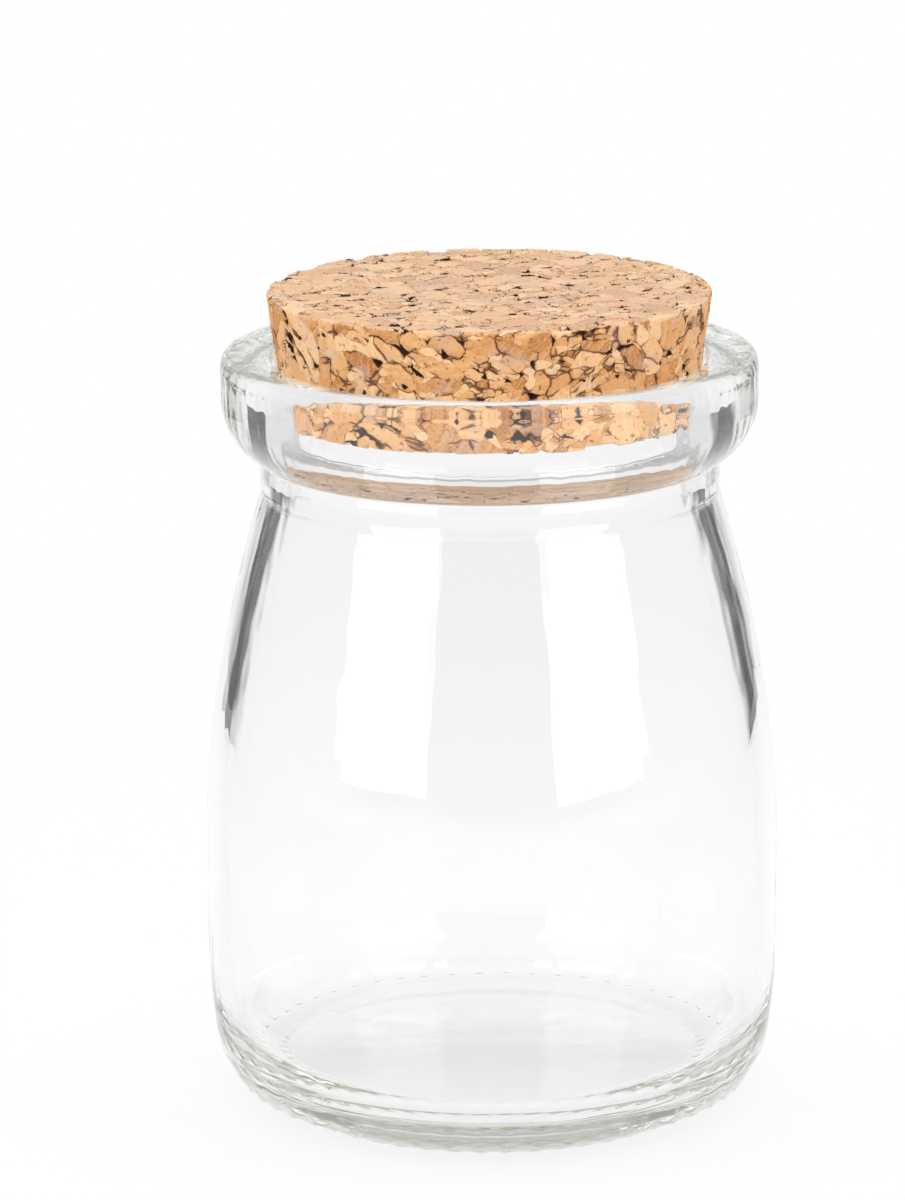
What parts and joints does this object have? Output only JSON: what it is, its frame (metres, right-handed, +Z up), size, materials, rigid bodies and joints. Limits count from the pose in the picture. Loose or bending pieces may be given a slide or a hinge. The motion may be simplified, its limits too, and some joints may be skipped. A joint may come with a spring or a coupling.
{
  "type": "glass jar with cork stopper",
  "caption": "Squat round clear glass jar with a thick flared collar and a tapered cork stopper that lifts out, for dry food, desserts or small items.",
  "frame": {"origin": "centre of the knurled ring that the jar stands on", "axes": "+Z up along the axis of the jar and of the cork; +X and +Y are free, because the jar is round"},
  "size_m": [0.068, 0.068, 0.0972],
  "materials": {
    "clear_glass": "clear moulded soda-lime glass, fire-polished, faintly green where thick",
    "cork": "pressed cork granules, sanded, matt"
  },
  "bodies": {
    "jar": {"glass_jar": "clear_glass"},
    "cork": {"cork_stopper": "cork"}
  },
  "joints": [
    {"name": "cork_lift", "type": "slide", "parent": "jar", "child": "cork", "axis": [0, 0, 1], "range_m": [0, 0.07]}
  ]
}
